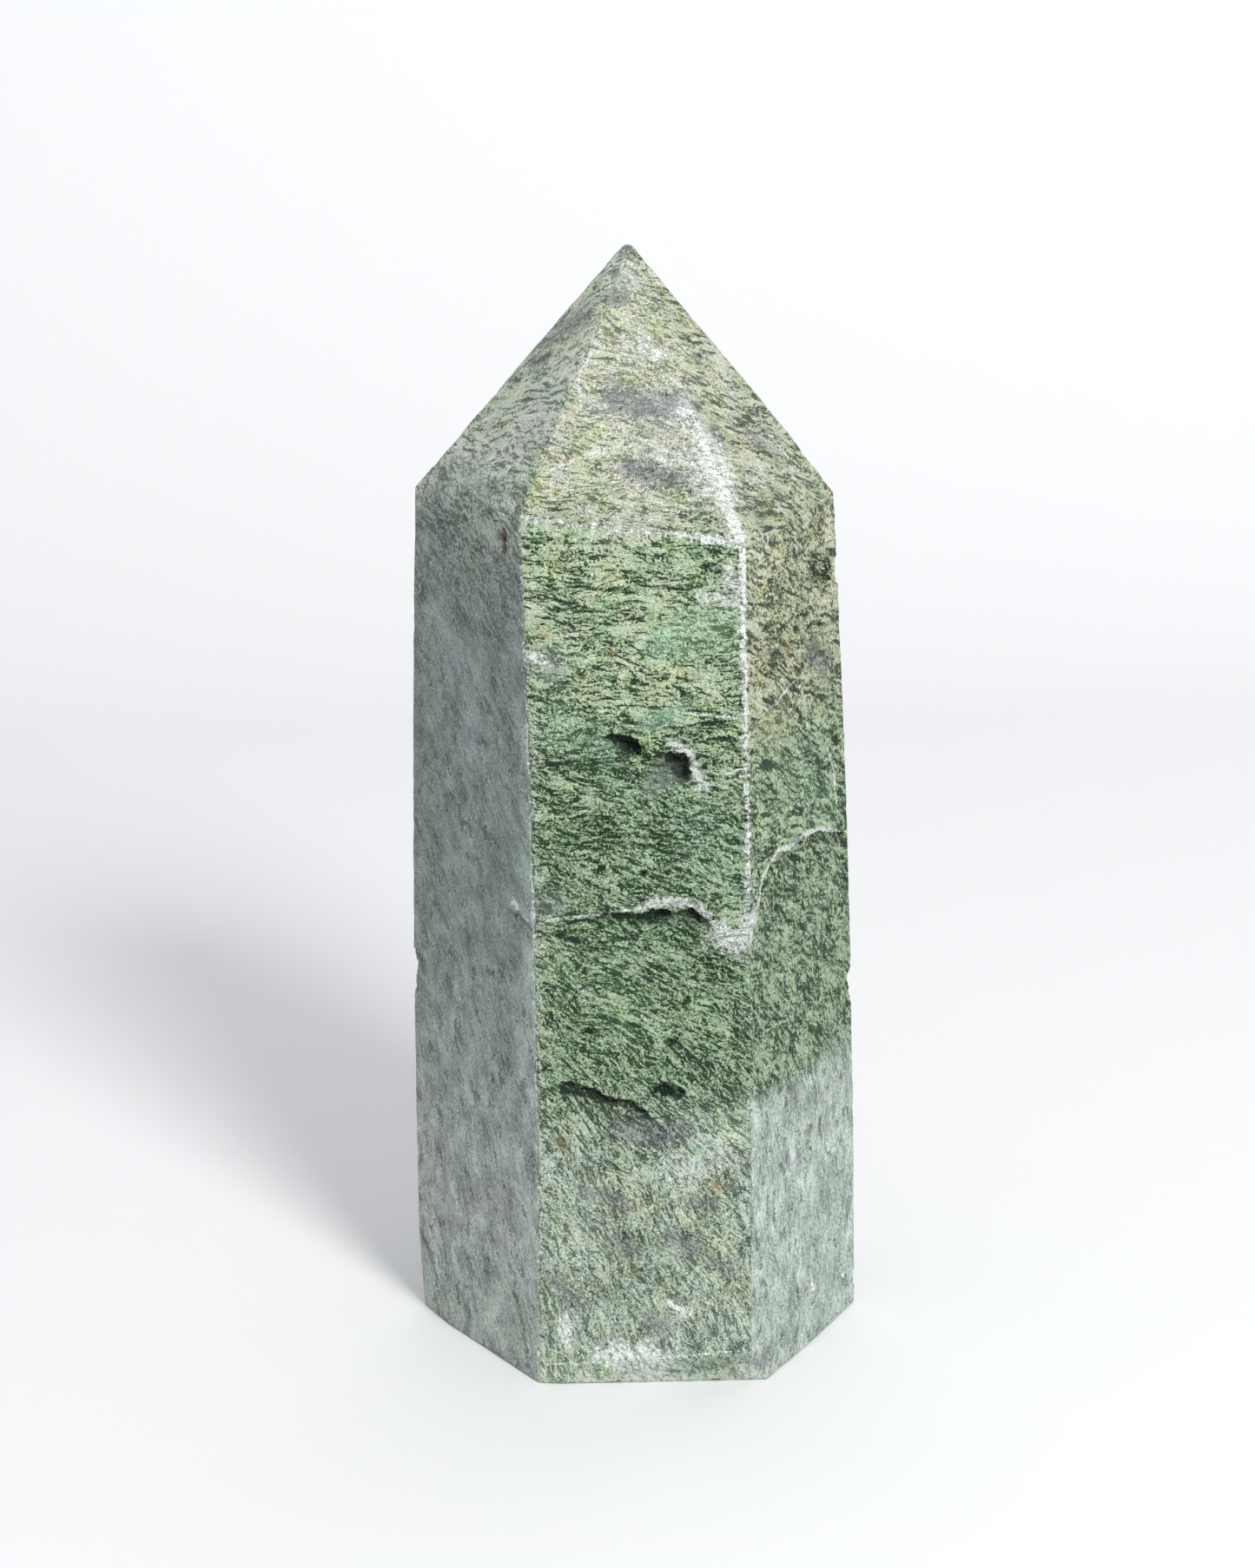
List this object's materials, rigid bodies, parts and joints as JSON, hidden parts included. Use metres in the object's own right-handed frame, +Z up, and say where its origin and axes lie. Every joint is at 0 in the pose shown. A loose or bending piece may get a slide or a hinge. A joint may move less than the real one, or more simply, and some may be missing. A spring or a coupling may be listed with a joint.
{
  "type": "moss agate tower",
  "caption": "Polished upright point of green moss agate: a hand-cut six-sided column with flat faces, small pits and ledges, and a pyramid tip. Stands on a flat base.",
  "frame": {"origin": "middle of the flat base, on the surface that the stone stands on", "axes": "+Z up along the column to the tip, front face towards -Y, +X to the right seen from the front"},
  "size_m": [0.0414, 0.0394, 0.1],
  "materials": {
    "moss_agate": "polished stone, fibrous green moss in grey chalcedony, satin sheen, scuffed pale edges and open pits"
  },
  "bodies": {
    "root": {"agate_tower": "moss_agate"}
  },
  "joints": []
}
